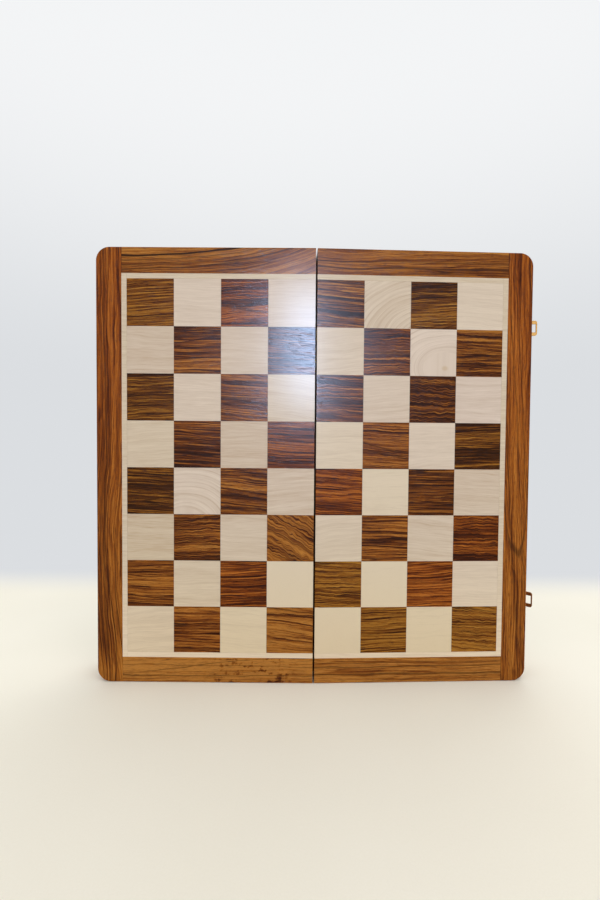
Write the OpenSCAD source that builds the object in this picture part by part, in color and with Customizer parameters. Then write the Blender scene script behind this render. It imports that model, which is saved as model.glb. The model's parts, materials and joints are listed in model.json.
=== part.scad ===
// Folding chess set: two shallow wooden boxes, hinged along the seam, whose fronts make the board.
// The board stands open on its bottom edge with the squares facing -Y. Each half holds a foam
// insert with one colour of pieces in its hollow back. Millimetres throughout.
// Both halves are drawn as a right half lying flat: seam at x = 0, hinge axis along Z at y = 0,
// playing face at y = -half_t. The left half is its mirror image.

/* [Board] */
// Side of one playing square
square_w = 38.1; // [36:0.1:42]
// Width of the light strip round the squares
strip_w = 4.2; // [3:0.1:6]
// Width of the frame's face along the top and the bottom
rail_w = 21.2; // [18:0.1:26]
// Width of the frame's face along the outer sides
stile_w = 20.9; // [18:0.1:26]
// Radius of the board's outer corners, seen from the front
corner_r = 11; // [6:0.5:16]
// Depth of one half, from the playing face to the hinge axis
half_t = 33; // [33:0.5:38]
// Thickness of the frame's outer walls
wall_t = 9.5; // [8.5:0.5:12]
// Thickness of the wall along the seam
seam_wall_t = 9; // [8.5:0.5:12]
// Thickness of the squares, of the strips and of the frame's front lip
tile_t = 3.2; // [2.5:0.1:3.6]
// Thickness of the panel behind the squares
panel_t = 4; // [3:0.1:4.5]
// Radius of the frame's edge round the front
front_round = 1.3; // [0.5:0.1:2.5]
// Radius of the frame's edge round the open back
rim_round = 0.8; // [0.4:0.1:2]
// Width of the fine joint between neighbouring squares
tile_gap = 0.08; // [0.04:0.01:0.2]

/* [Fold] */
// Angle by which the right half is folded back as the board stands
fold_angle = 2.4; // [1:0.1:6]
// Play between the two seam walls when the board is flat
seam_play = 0.1; // [0.06:0.02:0.4]
// Distance from the open rims to the hinge axis
rim_gap = 0.15; // [0.1:0.05:0.5]

/* [Hinges] */
// Length of one hinge
hinge_len = 38; // [30:1:50]
// Distance from the board's top and bottom to the hinges' middles
hinge_inset = 76; // [60:1:110]
// Width of a hinge leaf, from the hinge axis
leaf_w = 7.2; // [6.6:0.1:7.8]
// Thickness of a hinge leaf
leaf_t = 1.2; // [1:0.1:1.5]
// Radius of the hinge's knuckles
knuckle_r = 2.2; // [2:0.1:2.6]
// Radius of the hinge pin
pin_r = 1; // [0.8:0.05:1.2]
// Running clearance round the pins
pin_clear = 0.05; // [0.03:0.01:0.08]
// Gap between neighbouring knuckles
knuckle_gap = 0.2; // [0.1:0.05:0.4]
// Radius of the hinge screws' shanks
hinge_screw_r = 1; // [0.8:0.05:1.1]
// Length of the hinge screws
hinge_screw_len = 12; // [8:0.5:16]

/* [Latches] */
// Distance from the board's top to the upper latch's middle
latch_drop = 54; // [50:1:70]
// Height of the lower latch's middle
latch_rise = 62; // [50:1:70]
// Angle by which the upper latch's flap stands open
upper_open = 96; // [60:1:140]
// Angle by which the lower latch's flap stands open
lower_open = 136; // [60:1:140]
// Height of the latch, along its barrel
latch_h = 13.2; // [12:0.2:16]
// Length of the flap, from the barrel's axis to its outer edge
flap_len = 18.2; // [17:0.2:21]
// Thickness of the flap
flap_t = 1; // [0.8:0.1:1.2]
// Height of the window in the flap
window_h = 7.2; // [6:0.1:7.4]
// Length of the window in the flap
window_len = 8.6; // [7.6:0.1:9.4]
// Width of the thin bar that closes the window
window_bar = 1; // [0.8:0.1:1.6]
// Radius of the latch's barrel
barrel_r = 1.6; // [1.5:0.05:1.8]
// Radius of the latch's pin
latch_pin_r = 0.7; // [0.5:0.05:0.8]
// Distance from the frame's side to the barrel's axis
barrel_off = 2; // [1.9:0.05:2.4]
// Distance from the hinge axis plane back to the barrel's axis
barrel_set = 3.2; // [3:0.1:4]
// Thickness of the latch's and catch's mounting plates
plate_t = 0.8; // [0.6:0.1:1]
// Length of the latch's mounting plate, from the barrel's axis
latch_plate_len = 11; // [10:0.5:14]
// Length of the catch's plate
catch_len = 11; // [10:0.5:12]
// Radius of the catch's stem
knob_stem_r = 1.4; // [1.2:0.1:1.6]
// Radius of the catch's head
knob_head_r = 2.2; // [2:0.1:2.5]
// Distance by which the catch's head stands off the frame
knob_reach = 3; // [2.9:0.1:3.6]
// Radius of the small screws in the plates
plate_screw_r = 0.8; // [0.6:0.05:0.9]
// Length of the small screws
plate_screw_len = 8; // [6:0.5:8]

/* [Insert] */
// Thickness of the foam insert
insert_t = 16; // [12:0.5:20]
// Foam left under each slot
slot_floor = 2.2; // [1.5:0.1:2.4]
// Clearance round a piece in its slot
slot_clear = 0.3; // [0.2:0.05:0.5]
// Length of the wide end of a slot, which takes a piece's foot
slot_foot = 9; // [8:0.5:12]
// Distance from the seam wall to the officers' slots
officer_margin = 19; // [14:1:26]
// Distance from the outer wall to the pawns' slots
pawn_margin = 21; // [14:1:30]

/* [Pieces] */
// Height of the king
king_h = 62; // [56:1:68]
// Width of the king's foot
king_d = 22.4; // [20:0.2:22.6]
// Height of the queen
queen_h = 55; // [50:1:62]
// Width of the queen's foot
queen_d = 21.4; // [19:0.2:22.6]
// Height of a bishop
bishop_h = 48; // [44:1:54]
// Height of a knight
knight_h = 43; // [41:1:48]
// Height of a rook
rook_h = 37; // [34:1:42]
// Width of the feet of bishops, knights and rooks
minor_d = 19.8; // [18:0.2:21]
// Height of a pawn
pawn_h = 33; // [31:1:37]
// Width of a pawn's foot
pawn_d = 17.6; // [16:0.2:18.6]

/* [Hidden] */
$fn = 64;
kinds = ["rook", "knight", "bishop", "queen", "king", "bishop", "knight", "rook"];
piece_nodes = ["rook_1", "knight_1", "bishop_1", "queen", "king", "bishop_2", "knight_2", "rook_2"];
sides = ["left", "right"];
shades = ["light", "dark"];
half_parts = ["stile", "top_rail", "bottom_rail", "seam_wall", "panel", "light_squares", "dark_squares",
    "border_strips", "insert", "hinge_leaves", "screws"];

// Places that follow from the sizes above
hinge_y = half_t / 2;
seam_x = seam_play / 2;
half_w = 4 * square_w + strip_w + stile_w;
outer_x = seam_x + half_w;
field_x = seam_x + 4 * square_w;
board_h = 8 * square_w + 2 * strip_w + 2 * rail_w;
field_h = 8 * square_w + 2 * strip_w;
depth = half_t - rim_gap;
panel_y = -half_t + tile_t;
insert_y = panel_y + panel_t;
cavity_x = seam_x + seam_wall_t;
cavity_w = half_w - seam_wall_t - wall_t;
cavity_h = board_h - 2 * wall_t;
fit_gap = 0.3;
cut_over = 1;
hinge_z = [hinge_inset, board_h - hinge_inset];
latch_z = [latch_rise, board_h - latch_drop];

// The two halves' places
module left_place() { translate([0, hinge_y, 0]) mirror([1, 0, 0]) children(); }
module right_place() { translate([0, hinge_y, 0]) rotate([0, 0, fold_angle]) children(); }
module top_for_bottom() { translate([0, 0, board_h]) mirror([0, 0, 1]) children(); }

// Section through the frame: u runs outward, v runs from the front to the rim
module edge_section(w) {
    difference() {
        square([w, depth]);
        difference() {
            translate([w - front_round, -cut_over]) square([front_round + cut_over, front_round + cut_over]);
            translate([w - front_round, front_round]) circle(front_round);
        }
        difference() {
            translate([w - rim_round, depth - rim_round])
                square([rim_round + cut_over, rim_round + cut_over]);
            translate([w - rim_round, depth - rim_round]) circle(rim_round);
        }
    }
}

// The hollow that the open back leads into, from the front lip to past the rim
module cavity() {
    translate([seam_x - cut_over, panel_y, wall_t])
        cube([half_w - wall_t + cut_over, half_t, cavity_h]);
}

// Frame
module stile_corner() {
    translate([outer_x - corner_r, -half_t, corner_r])
        rotate([-90, 0, 0]) rotate_extrude(angle = 90) edge_section(corner_r);
    translate([outer_x - stile_w, -half_t, corner_r])
        rotate([0, 90, 0]) linear_extrude(stile_w - corner_r) edge_section(corner_r);
}

module stile() {
    color("saddlebrown") difference() {
        union() {
            translate([outer_x - stile_w, -half_t, corner_r])
                linear_extrude(board_h - 2 * corner_r) edge_section(stile_w);
            stile_corner();
            top_for_bottom() stile_corner();
        }
        cavity();
        side_screw_holes();
    }
}

module bottom_rail() {
    color("peru") difference() {
        translate([seam_x, -half_t, rail_w])
            rotate([0, 90, 0]) linear_extrude(half_w - stile_w) edge_section(rail_w);
        cavity();
    }
}

module top_rail() { top_for_bottom() bottom_rail(); }

module seam_wall() {
    color("sienna") difference() {
        translate([seam_x, panel_y, wall_t]) cube([seam_wall_t, depth - tile_t, cavity_h]);
        for (z = hinge_z) translate([0, 0, z]) hinge_recess();
    }
}

// Playing surface
module panel() {
    color("burlywood") translate([cavity_x, panel_y, wall_t]) cube([cavity_w, panel_t, cavity_h]);
}

module squares(first) {
    for (i = [0:3], row = [0:7]) if ((i + row) % 2 == first)
        translate([seam_x + i * square_w, -half_t, board_h - rail_w - strip_w - (row + 1) * square_w])
            translate([tile_gap / 2, 0, tile_gap / 2])
                cube([square_w - tile_gap, tile_t, square_w - tile_gap]);
}

module light_squares(first) { color("wheat") squares(first); }
module dark_squares(first) { color("saddlebrown") squares(first); }

module border_strips() {
    color("moccasin") {
        translate([field_x + tile_gap / 2, -half_t, rail_w]) cube([strip_w - tile_gap / 2, tile_t, field_h]);
        for (z = [rail_w, rail_w + field_h - strip_w + tile_gap / 2])
            translate([seam_x, -half_t, z])
                cube([4 * square_w - tile_gap / 2, tile_t, strip_w - tile_gap / 2]);
    }
}

// Screws: a countersunk head with a slot, flush with the plate it holds. The head lies at z = 0
module screw(r, len, head_h) {
    head_r = 1.9 * r;
    difference() {
        union() {
            translate([0, 0, -head_h]) cylinder(h = head_h, r1 = r, r2 = head_r);
            translate([0, 0, -len]) cylinder(h = len, r = r);
        }
        translate([-2 * head_r, -0.2 * r, -0.25 * head_h]) cube([4 * head_r, 0.4 * r, head_h]);
    }
}

module screw_hole(r, len, head_h) {
    translate([0, 0, -head_h])
        cylinder(h = head_h, r1 = r + screw_clear, r2 = 1.9 * r + screw_clear);
    translate([0, 0, -len - screw_clear]) cylinder(h = len + 2 * screw_clear, r = r + screw_clear);
    cylinder(h = cut_over, r = 1.9 * r + screw_clear);
}

screw_clear = 0.04;
hinge_screw_x = (leaf_w + knuckle_r) / 2;
hinge_screw_dz = hinge_len * 0.3;

module at_hinge_screws() {
    for (s = [-1, 1])
        translate([hinge_screw_x, -rim_gap, s * hinge_screw_dz]) rotate([-90, 0, 0]) children();
}

// Hinges. The left leaf has knuckles 0, 2 and 4, the right leaf 1 and 3
knuckle_count = 5;
knuckle_pitch = hinge_len / knuckle_count;

module knuckle_space(k, r, grow) {
    translate([0, 0, -hinge_len / 2 + k * knuckle_pitch - grow])
        cylinder(h = knuckle_pitch + 2 * grow, r = r);
}

module hinge_leaf(first) {
    difference() {
        union() {
            difference() {
                translate([0, -rim_gap - leaf_t, -hinge_len / 2]) cube([leaf_w, leaf_t, hinge_len]);
                for (k = [0:knuckle_count - 1]) if (k % 2 != first)
                    knuckle_space(k, knuckle_r + knuckle_gap, knuckle_gap / 2);
                for (k = [0:knuckle_count]) translate([0, 0, -hinge_len / 2 + k * knuckle_pitch])
                    cylinder(h = knuckle_gap, r = knuckle_r + knuckle_gap, center = true);
            }
            for (k = [first:2:knuckle_count - 1]) knuckle_space(k, knuckle_r, -knuckle_gap / 2);
        }
        cylinder(h = hinge_len + 2 * cut_over, r = pin_r + pin_clear, center = true);
        at_hinge_screws() screw_hole(hinge_screw_r, hinge_screw_len, leaf_t);
    }
}

module hinge_leaves(first) {
    color("goldenrod") for (z = hinge_z) translate([0, 0, z]) hinge_leaf(first);
}

pin_head_h = 0.7;
pin_head_gap = 0.1;

module hinge_pin() {
    cylinder(h = hinge_len + 2 * pin_head_gap, r = pin_r, center = true);
    for (s = [-1, 1]) translate([0, 0, s * (hinge_len / 2 + pin_head_gap + pin_head_h / 2)])
        cylinder(h = pin_head_h, r = pin_r + 0.5, center = true);
}

module hinge_pins() {
    color("goldenrod") for (z = hinge_z) translate([0, 0, z]) hinge_pin();
}

// What is cut out of a seam wall for one hinge: the leaf's mortise, the barrel's hollow, the screws
mortise_gap = 0.1;

module hinge_recess() {
    barrel_h = hinge_len + 2 * (pin_head_gap + pin_head_h + fit_gap);
    translate([-cut_over, -rim_gap - leaf_t, -hinge_len / 2 - mortise_gap])
        cube([leaf_w + mortise_gap + cut_over, leaf_t + cut_over, hinge_len + 2 * mortise_gap]);
    cylinder(h = barrel_h, r = knuckle_r + fit_gap, center = true);
    at_hinge_screws() screw_hole(hinge_screw_r, hinge_screw_len, leaf_t);
}

// Latches. The barrel's axis is along Z; a flap that points along +Y is closed
latch_knuckle = latch_h / 4;
latch_gap = 0.15;
flap_room = barrel_r + 2 * latch_gap;
leaf_screw_y = -latch_plate_len * 0.62;
plate_screw_dz = latch_h * 0.28;

module at_latch(z) { translate([outer_x + barrel_off, -barrel_set, z]) children(); }

module at_leaf_screws() {
    for (s = [-1, 1])
        translate([plate_t - barrel_off, leaf_screw_y, s * plate_screw_dz]) rotate([0, 90, 0]) children();
}

module latch_leaf() {
    difference() {
        union() {
            difference() {
                translate([-barrel_off, -latch_plate_len, -latch_h / 2])
                    cube([plate_t, latch_plate_len, latch_h]);
                translate([-barrel_off - cut_over, -flap_room, latch_knuckle - latch_h / 2])
                    cube([barrel_off + cut_over, flap_room + cut_over, latch_h - 2 * latch_knuckle]);
            }
            for (s = [-1, 1]) translate([0, 0, s * (latch_h - latch_knuckle) / 2]) {
                cylinder(h = latch_knuckle, r = barrel_r, center = true);
                translate([-barrel_off, -barrel_r, -latch_knuckle / 2])
                    cube([barrel_off - latch_pin_r, barrel_r, latch_knuckle]);
            }
        }
        cylinder(h = latch_h + cut_over, r = latch_pin_r + pin_clear, center = true);
        at_leaf_screws() screw_hole(plate_screw_r, plate_screw_len, plate_t);
    }
}

module latch_leaves() {
    color("goldenrod") for (z = latch_z) at_latch(z) latch_leaf();
}

module latch_pins() {
    color("goldenrod") for (z = latch_z) at_latch(z) cylinder(h = latch_h, r = latch_pin_r, center = true);
}

flap_corner = 2;

module flap_outline() {
    difference() {
        union() {
            translate([flap_room, -latch_h / 2]) square([flap_len - flap_room - flap_corner, latch_h]);
            translate([flap_room, -latch_h / 2 + flap_corner])
                square([flap_len - flap_room, latch_h - 2 * flap_corner]);
            for (s = [-1, 1])
                translate([flap_len - flap_corner, s * (latch_h / 2 - flap_corner)]) circle(flap_corner);
        }
        translate([flap_len - window_bar - window_len, -window_h / 2]) square([window_len, window_h]);
    }
}

module latch_flap(z, open) {
    middle_h = latch_h - 2 * latch_knuckle - 2 * latch_gap;
    color("goldenrod") at_latch(z) rotate([0, 0, -open]) difference() {
        union() {
            rotate([90, 0, 90]) translate([0, 0, -flap_t / 2]) linear_extrude(flap_t) flap_outline();
            cylinder(h = middle_h, r = barrel_r, center = true);
            translate([-flap_t / 2, 0, -middle_h / 2]) cube([flap_t, barrel_r + 3 * latch_gap, middle_h]);
        }
        cylinder(h = latch_h, r = latch_pin_r + pin_clear, center = true);
    }
}

// Catches, on the other half's side. With the box closed the knob stands in the flap's window
knob_y = barrel_set - (flap_len - window_bar - window_len / 2);
knob_head_h = 1.3;
catch_screw_dz = latch_h * 0.33;

module at_catch(z) { translate([outer_x, knob_y, z]) rotate([0, 90, 0]) children(); }

module at_catch_screws() {
    for (s = [-1, 1]) translate([s * catch_screw_dz, 0, plate_t]) children();
}

module latch_catch() {
    difference() {
        translate([-latch_h / 2, -catch_len / 2, 0]) cube([latch_h, catch_len, plate_t]);
        at_catch_screws() screw_hole(plate_screw_r, plate_screw_len, plate_t);
    }
    cylinder(h = knob_reach, r = knob_stem_r);
    translate([0, 0, knob_reach]) cylinder(h = knob_head_h, r1 = knob_head_r, r2 = knob_head_r * 0.6);
}

module latch_catches() {
    color("goldenrod") for (z = latch_z) at_catch(z) latch_catch();
}

// Holes that the small screws leave in both stiles' sides
module side_screw_holes() {
    for (z = latch_z) {
        at_latch(z) at_leaf_screws() screw_hole(plate_screw_r, plate_screw_len, plate_t);
        at_catch(z) at_catch_screws() screw_hole(plate_screw_r, plate_screw_len, plate_t);
    }
}

module hinge_screws() {
    for (z = hinge_z) translate([0, 0, z]) at_hinge_screws() screw(hinge_screw_r, hinge_screw_len, leaf_t);
}

module left_half_screws() {
    color("darkgoldenrod") {
        hinge_screws();
        for (z = latch_z) at_catch(z) at_catch_screws() screw(plate_screw_r, plate_screw_len, plate_t);
    }
}

module right_half_screws() {
    color("darkgoldenrod") {
        hinge_screws();
        for (z = latch_z) at_latch(z) at_leaf_screws() screw(plate_screw_r, plate_screw_len, plate_t);
    }
}

// Places in the insert. Pieces lie along X: officers with their feet to the seam, pawns to the outside
row_pitch = cavity_h / 8;
officer_x = cavity_x + officer_margin;
pawn_x = cavity_x + cavity_w - pawn_margin;
foot_y = insert_y + slot_floor + slot_clear;

function row_z(row) = wall_t + cavity_h - (row + 0.5) * row_pitch;
function foot_d(kind) = kind == "king" ? king_d : kind == "queen" ? queen_d : minor_d;
function tall(kind) = kind == "king" ? king_h : kind == "queen" ? queen_h : kind == "bishop" ? bishop_h
    : kind == "knight" ? knight_h : rook_h;
function body_d(kind) = kind == "king" ? 2 * king_crown_r : kind == "queen" ? 2 * queen_crown_r
    : kind == "bishop" ? 2 * bishop_collar_r : kind == "rook" ? 2 * rook_top_r : minor_d;

module officer_place(row, d) {
    translate([officer_x, foot_y + d / 2, row_z(row)]) rotate([0, 90, 0]) children();
}

module pawn_place(row) {
    translate([pawn_x, foot_y + pawn_d / 2, row_z(row)]) rotate([0, -90, 0]) children();
}

// A slot's outline follows the piece: wide at the foot, narrow along the body
module slot(d, body, long) {
    for (size = [[slot_foot + 2 * slot_clear, d], [long + 2 * slot_clear, body]])
        translate([-slot_clear, -insert_t, -size[1] / 2 - slot_clear])
            cube([size[0], 2 * insert_t, size[1] + 2 * slot_clear]);
}

module insert() {
    color("darkgreen") difference() {
        translate([cavity_x + fit_gap, insert_y, wall_t + fit_gap])
            cube([cavity_w - 2 * fit_gap, insert_t, cavity_h - 2 * fit_gap]);
        translate([0, insert_y + slot_floor + insert_t, 0]) for (row = [0:7]) {
            translate([officer_x, 0, row_z(row)])
                slot(foot_d(kinds[row]), body_d(kinds[row]), tall(kinds[row]));
            translate([pawn_x, 0, row_z(row)]) mirror([1, 0, 0]) slot(pawn_d, 2 * pawn_collar_r, pawn_h);
        }
    }
}

// Pieces, drawn standing on z = 0. Every one starts with the same turned foot
king_crown_r = 7;
queen_crown_r = 7;
bishop_collar_r = 6.3;
rook_top_r = 8;
pawn_collar_r = 5.6;

function arc(x, z, rx, rz, from, to, steps) =
    [for (i = [0:steps]) let (a = from + (to - from) * i / steps) [x + rx * cos(a), z + rz * sin(a)]];

// From the middle of the underside, over the plinth and two beads, up the hollow sweep to the stem
function foot(r, stem_r, top) = concat(
    [[0, 0], [r - 0.4, 0], [r, 0.4], [r, 2.2]],
    arc(r - 1.1, 2.2, 1.1, 1.1, 30, 90, 2),
    [[r - 1.9, 3.3], [r - 1.9, 3.9]],
    arc(r - 2.3, 4.6, 0.8, 0.7, -30, 90, 3),
    arc(r - 2.8, top, r - 2.8 - stem_r, top - 5.3, 270, 180, 5)
);

// A pair of turned collars, the lower one wider
function collars(r, z) = concat(
    [[r - 1.6, z], [r, z + 0.5], [r, z + 1.1], [r - 1.2, z + 1.7]],
    [[r - 1.4, z + 2.2], [r - 1.4, z + 2.7], [r - 2.4, z + 3.2]]
);

module turned(outline, top) {
    rotate_extrude() polygon(concat(outline, [[0, top]]));
}

module king() {
    collar_z = king_h - 24;
    cup_z = collar_z + 3.2;
    crown_z = king_h - 9.5;
    turned(concat(
        foot(king_d / 2, 4, collar_z),
        collars(king_crown_r, collar_z),
        arc(king_crown_r, cup_z, king_crown_r - 4.2, crown_z - cup_z, 180, 115, 4),
        [[king_crown_r, crown_z], [king_crown_r, crown_z + 0.8]],
        arc(1.6, crown_z + 0.8, king_crown_r - 2, 2.4, 0, 80, 4)
    ), crown_z + 3.2);
    for (bar = [[1.9, 2, 6.8, 0], [5.2, 2, 1.9, 1.6]])
        translate([-bar[0] / 2, -bar[1] / 2, king_h - bar[2] - bar[3]]) cube([bar[0], bar[1], bar[2]]);
}

module queen() {
    collar_z = queen_h - 20;
    cup_z = collar_z + 3.2;
    crown_z = queen_h - 3.6;
    difference() {
        turned(concat(
            foot(queen_d / 2, 3.8, collar_z),
            collars(queen_crown_r, collar_z),
            arc(queen_crown_r, cup_z, queen_crown_r - 4, crown_z - cup_z - 0.6, 180, 110, 4),
            [[queen_crown_r, crown_z - 0.4], [queen_crown_r - 0.4, crown_z], [queen_crown_r - 2, crown_z - 1]]
        ), crown_z - 1);
        for (i = [0:7]) rotate([0, 0, 45 * i]) translate([queen_crown_r, 0, crown_z + 0.4])
            rotate([0, 90, 0]) cylinder(h = 5, r = 1.3, center = true, $fn = 24);
    }
    translate([0, 0, crown_z - 1.2]) cylinder(h = 2, r1 = 4.2, r2 = 1.4);
    translate([0, 0, queen_h - 1.9]) sphere(1.9);
}

module bishop() {
    collar_z = bishop_h - 20.5;
    mitre_z = collar_z + 3.2;
    bulge_z = mitre_z + 5;
    tip_z = bishop_h - 2.8;
    difference() {
        turned(concat(
            foot(minor_d / 2, 3.5, collar_z),
            collars(bishop_collar_r, collar_z),
            arc(0, bulge_z, 5.9, bulge_z - mitre_z, -48, 0, 3),
            arc(0, bulge_z, 5.9, tip_z - bulge_z, 15, 75, 5)
        ), tip_z);
        translate([0.6, -6, bulge_z + 1.5]) rotate([0, 35, 0]) cube([1.2, 12, 12]);
    }
    translate([0, 0, bishop_h - 1.8]) sphere(1.8);
}

module rook() {
    collar_z = rook_h - 15.5;
    tower_z = collar_z + 1.8;
    top_z = rook_h - 7.2;
    difference() {
        turned(concat(
            foot(minor_d / 2, 5.9, collar_z),
            [[7.3, collar_z], [7.6, collar_z + 0.5], [7.6, collar_z + 1.1], [6.6, tower_z]],
            arc(rook_top_r, tower_z, rook_top_r - 6.1, top_z - tower_z, 180, 120, 3),
            [[rook_top_r, top_z + 0.3], [rook_top_r, rook_h - 0.4], [rook_top_r - 0.4, rook_h]]
        ), rook_h);
        translate([0, 0, rook_h - 4.5]) cylinder(h = 5, r = rook_top_r - 2.2);
        for (i = [0:2]) rotate([0, 0, 60 * i])
            translate([-rook_top_r - 1, -1.2, rook_h - 3]) cube([2 * rook_top_r + 2, 2.4, 4]);
    }
}

// The knight's head in profile, nose towards +X, from the neck's foot round over the ears
knight_neck_z = 11;
knight_profile = concat(
    [[-6.6, -1], [6.6, -1], [6.6, 2.2], [4.4, 6], [3.6, 9], [4.6, 11]],
    [[6.4, 11.2], [8.4, 10.8], [9.4, 12.2], [9.5, 15], [7.8, 18.2], [5.2, 22.6], [3.8, 25]],
    [[2.6, 28.4], [0.9, 25.9], [-0.6, 27.2], [-1.4, 25]],
    arc(-0.4, 13.8, 7.2, 11.2, 100, 190, 6),
    [[-7.4, 7], [-6.8, 2.2]]
);

module knight() {
    grow = (knight_h - knight_neck_z) / 28.4;
    turned(concat(
        foot(minor_d / 2, 7.6, knight_neck_z - 1.6),
        [[8.6, knight_neck_z - 1.2], [8.6, knight_neck_z - 0.4], [8.2, knight_neck_z]]
    ), knight_neck_z);
    translate([0, 0, knight_neck_z]) difference() {
        intersection() {
            rotate([90, 0, 0]) linear_extrude(12, center = true)
                polygon([for (p = knight_profile) [p[0], p[1] * grow]]);
            rotate([90, 0, 90]) linear_extrude(24, center = true)
                polygon([[-4.6, -2], [4.6, -2], [4.6, 13 * grow], [2.6, 30 * grow], [-2.6, 30 * grow],
                    [-4.6, 13 * grow]]);
        }
        for (s = [-1, 1]) {
            translate([3.4, s * 4.4, 19.4 * grow]) sphere(1.3, $fn = 24);
            translate([8.4, s * 4.8, 14.8 * grow]) sphere(0.9, $fn = 24);
        }
        translate([6.6, -8, 12.3 * grow]) rotate([0, -8, 0]) cube([5, 16, 0.7]);
    }
}

module pawn() {
    collar_z = pawn_h - 11.6;
    turned(concat(
        foot(pawn_d / 2, 3, collar_z),
        [[4.6, collar_z], [pawn_collar_r, collar_z + 0.6], [pawn_collar_r, collar_z + 1.1]],
        [[3.2, collar_z + 1.8]]
    ), collar_z + 1.8);
    translate([0, 0, collar_z + 1]) cylinder(h = 3, r = 2.9);
    translate([0, 0, pawn_h - 5.1]) sphere(5.1);
}

module officer(shade, row) {
    kind = kinds[row];
    color(shade == "light" ? "burlywood" : "saddlebrown") officer_place(row, foot_d(kind)) {
        if (kind == "king") king();
        if (kind == "queen") queen();
        if (kind == "bishop") bishop();
        if (kind == "knight") knight();
        if (kind == "rook") rook();
    }
}

module lying_pawn(shade, row) {
    color(shade == "light" ? "burlywood" : "saddlebrown") pawn_place(row) pawn();
}

left_place() stile();  // left_stile
left_place() top_rail();  // left_top_rail
left_place() bottom_rail();  // left_bottom_rail
left_place() seam_wall();  // left_seam_wall
left_place() panel();  // left_panel
left_place() light_squares(0);  // left_light_squares
left_place() dark_squares(1);  // left_dark_squares
left_place() border_strips();  // left_border_strips
left_place() insert();  // left_insert
left_place() hinge_leaves(0);  // left_hinge_leaves
left_place() left_half_screws();  // left_screws
right_place() stile();  // right_stile
right_place() top_rail();  // right_top_rail
right_place() bottom_rail();  // right_bottom_rail
right_place() seam_wall();  // right_seam_wall
right_place() panel();  // right_panel
right_place() light_squares(1);  // right_light_squares
right_place() dark_squares(0);  // right_dark_squares
right_place() border_strips();  // right_border_strips
right_place() insert();  // right_insert
right_place() hinge_leaves(1);  // right_hinge_leaves
right_place() right_half_screws();  // right_screws
left_place() hinge_pins();
right_place() latch_leaves();
right_place() latch_pins();
left_place() latch_catches();
right_place() latch_flap(latch_z[1], upper_open);  // upper_latch_flap
right_place() latch_flap(latch_z[0], lower_open);  // lower_latch_flap
for (row = [0:7]) {
    left_place() officer("light", row);
    left_place() lying_pawn("light", row);
    right_place() officer("dark", row);
    right_place() lying_pawn("dark", row);
}
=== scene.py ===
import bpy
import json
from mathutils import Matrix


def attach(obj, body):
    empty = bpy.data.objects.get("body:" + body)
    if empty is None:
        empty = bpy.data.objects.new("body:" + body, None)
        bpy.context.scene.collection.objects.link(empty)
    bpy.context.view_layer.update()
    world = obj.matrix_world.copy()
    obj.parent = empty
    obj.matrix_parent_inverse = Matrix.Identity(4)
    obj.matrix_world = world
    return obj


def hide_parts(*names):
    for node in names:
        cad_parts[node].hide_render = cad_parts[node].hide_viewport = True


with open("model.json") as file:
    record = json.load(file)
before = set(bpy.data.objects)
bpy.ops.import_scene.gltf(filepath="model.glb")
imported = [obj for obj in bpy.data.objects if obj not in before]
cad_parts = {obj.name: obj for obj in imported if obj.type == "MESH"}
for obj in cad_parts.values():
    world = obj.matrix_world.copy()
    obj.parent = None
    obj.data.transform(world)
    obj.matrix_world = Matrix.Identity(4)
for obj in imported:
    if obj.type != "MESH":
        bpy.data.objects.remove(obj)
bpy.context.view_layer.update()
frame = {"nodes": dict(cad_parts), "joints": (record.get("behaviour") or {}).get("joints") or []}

import json
import math

import bmesh
import bpy
from mathutils import Matrix, Vector

# Stiles. The frame's outer members run from top to bottom at both sides, in upright sheesham.
# Each is one board with rounded outer corners, sanded and sprayed with a satin lacquer.
# The left one has dark heart streaks down its middle, the right one is golden with slanting lines.


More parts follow.
